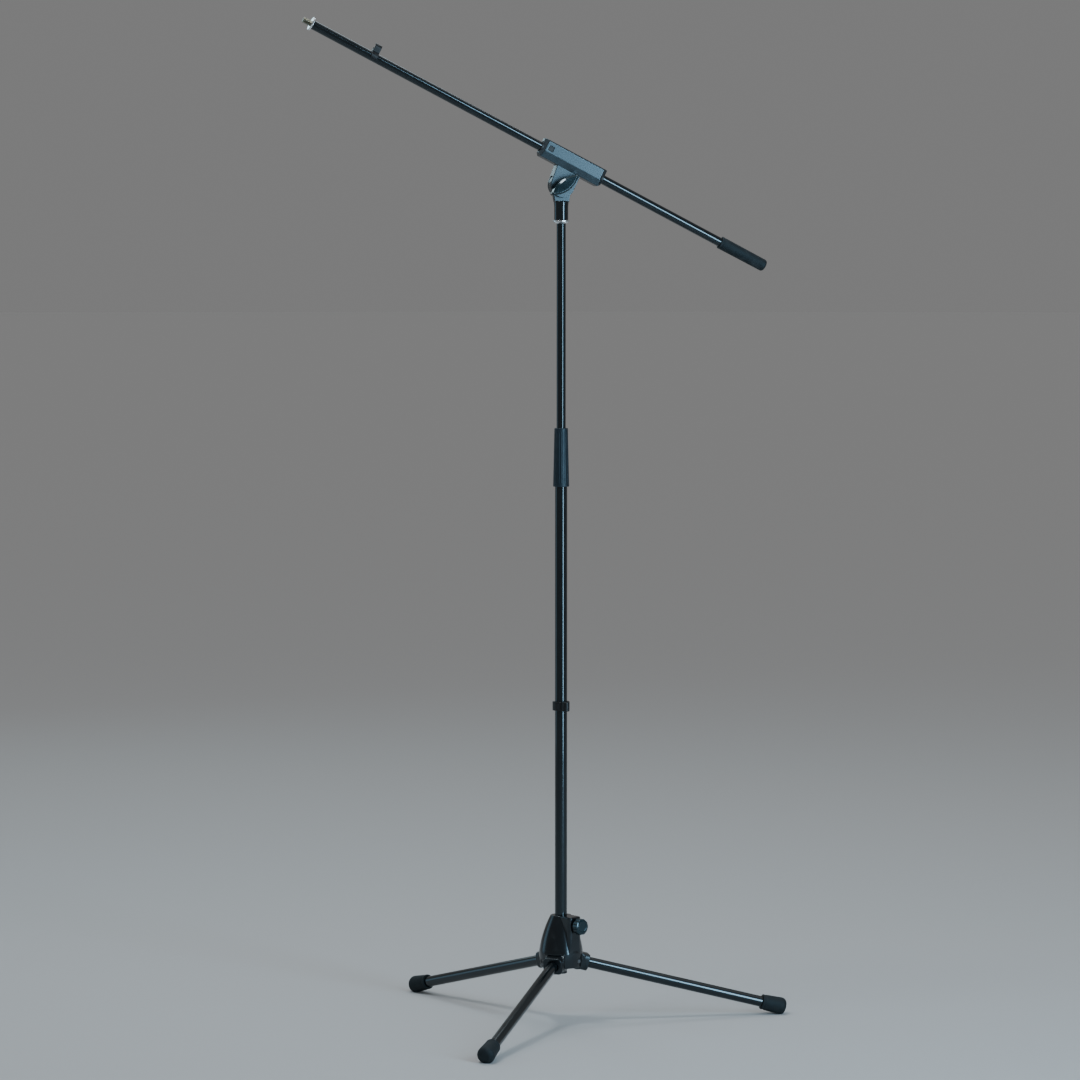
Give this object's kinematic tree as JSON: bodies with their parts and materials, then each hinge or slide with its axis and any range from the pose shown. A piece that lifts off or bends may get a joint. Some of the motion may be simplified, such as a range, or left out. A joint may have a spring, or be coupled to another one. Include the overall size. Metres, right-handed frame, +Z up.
{
  "type": "boom microphone stand",
  "caption": "Boom microphone stand: folding tripod base on a cast hub, telescopic column with a twist clutch, and a tilting, sliding boom on a one-lever clamp.",
  "frame": {"origin": "on the floor, under the middle of the stand's bounding box", "axes": "+Z up along the column, +X towards the boom's rear grip, +Y away from the side that carries the lever"},
  "size_m": [0.7901, 0.6563, 1.6402],
  "materials": {
    "tube_black": "gloss black powder coat on steel tube",
    "cast_black": "gloss black coat on a zinc casting",
    "head_satin": "satin black coat on a zinc casting",
    "knuckle_black": "semi-gloss moulded black",
    "knob_black": "polished moulded black",
    "grip_satin": "satin dark blue-black",
    "clip_black": "moulded black",
    "nylon_black": "moulded black nylon",
    "rubber_black": "matte black rubber",
    "zinc_steel": "zinc-plated steel",
    "stud_brass": "yellow-zinc steel",
    "chrome": "polished chrome",
    "brass": "turned brass",
    "fibre_grey": "pressed fibre"
  },
  "bodies": {
    "hub": {"hub_body": "cast_black", "leg_pins": "zinc_steel", "hub_clamp_pad": "nylon_black"},
    "base_knob": {"hub_knob": "knob_black", "hub_knob_screw": "zinc_steel"},
    "column": {"lower_tube": "tube_black", "tube_end_plug": "nylon_black", "clutch_insert": "nylon_black", "clutch_collet": "nylon_black"},
    "column_clip": {"column_clip": "clip_black"},
    "clutch": {"clutch_grip": "grip_satin"},
    "mast": {"upper_tube": "tube_black", "upper_tube_guide": "nylon_black", "tube_top_stud": "zinc_steel"},
    "column_lock_ring": {"column_lock_ring": "chrome"},
    "yoke": {"yoke": "head_satin"},
    "clamp": {"clamp_sleeve": "head_satin", "sleeve_badge": "clip_black", "clamp_shoe": "zinc_steel", "pivot_bolt": "zinc_steel", "friction_washers": "fibre_grey", "t_bar_washer": "zinc_steel", "sleeve_bush_front": "nylon_black", "sleeve_bush_rear": "nylon_black"},
    "lever": {"t_bar": "knob_black", "t_bar_insert": "brass"},
    "boom": {"boom_tube": "tube_black", "boom_stud": "stud_brass", "boom_grip": "rubber_black", "boom_end_plug": "nylon_black"},
    "boom_ring": {"boom_ring": "chrome"},
    "boom_clip": {"boom_clip": "clip_black"},
    "leg_right": {"leg_knuckle_right": "knuckle_black", "leg_tube_right": "tube_black", "foot_right": "rubber_black"},
    "leg_front": {"leg_knuckle_front": "knuckle_black", "leg_tube_front": "tube_black", "foot_front": "rubber_black"},
    "leg_left": {"leg_knuckle_left": "knuckle_black", "leg_tube_left": "tube_black", "foot_left": "rubber_black"}
  },
  "joints": [
    {"name": "leg_right_fold", "type": "hinge", "parent": "hub", "child": "leg_right", "pos_m": [0.04401, 0.04094, 0.1031], "axis": [-0.1977, 0.9803, 0], "range_deg": [0, 73]},
    {"name": "leg_front_fold", "type": "hinge", "parent": "hub", "child": "leg_front", "pos_m": [0.01153, 0.01231, 0.1031], "axis": [0.9478, -0.319, 0], "range_deg": [0, 73]},
    {"name": "leg_left_fold", "type": "hinge", "parent": "hub", "child": "leg_left", "pos_m": [0.00297, 0.05475, 0.1031], "axis": [-0.7501, -0.6613, 0], "range_deg": [0, 73]},
    {"name": "base_knob_turn", "type": "hinge", "parent": "hub", "child": "base_knob", "pos_m": [0.04926, 0.00225, 0.1635], "axis": [0.6613, -0.7501, 0], "range_deg": [0, 270]},
    {"name": "column_slide", "type": "slide", "parent": "hub", "child": "column", "axis": [0, 0, 1], "range_m": [-0.3, 0]},
    {"name": "column_clip_slide", "type": "slide", "parent": "column", "child": "column_clip", "axis": [0, 0, 1], "range_m": [-0.03, 0.34]},
    {"name": "clutch_turn", "type": "hinge", "parent": "column", "child": "clutch", "pos_m": [0.0195, 0.036, 0.93], "axis": [0, 0, 1], "range_deg": [0, 270]},
    {"name": "mast_slide", "type": "slide", "parent": "column", "child": "mast", "axis": [0, 0, 1], "range_m": [-0.32, 0.3]},
    {"name": "column_ring_turn", "type": "hinge", "parent": "mast", "child": "column_lock_ring", "pos_m": [0.0195, 0.036, 1.3145], "axis": [0, 0, 1], "continuous": true},
    {"name": "head_swivel", "type": "hinge", "parent": "mast", "child": "yoke", "pos_m": [0.0195, 0.036, 1.33], "axis": [0, 0, 1], "continuous": true},
    {"name": "boom_tilt", "type": "hinge", "parent": "yoke", "child": "clamp", "pos_m": [0.0195, 0.036, 1.374], "axis": [-0.2588, 0.9659, 0], "range_deg": [-88, 41]},
    {"name": "lever_turn", "type": "hinge", "parent": "clamp", "child": "lever", "pos_m": [0.02571, 0.01282, 1.374], "axis": [-0.2588, 0.9659, 0], "range_deg": [-450, 0]},
    {"name": "boom_slide", "type": "slide", "parent": "clamp", "child": "boom", "axis": [0.8606, 0.2306, -0.454], "range_m": [-0.22, 0.26]},
    {"name": "boom_ring_turn", "type": "hinge", "parent": "boom", "child": "boom_ring", "pos_m": [-0.37977, -0.07098, 1.62951], "axis": [0.8606, 0.2306, -0.454], "continuous": true},
    {"name": "boom_clip_slide", "type": "slide", "parent": "boom", "child": "boom_clip", "axis": [0.8606, 0.2306, -0.454], "range_m": [-0.09, 0.04]}
  ]
}
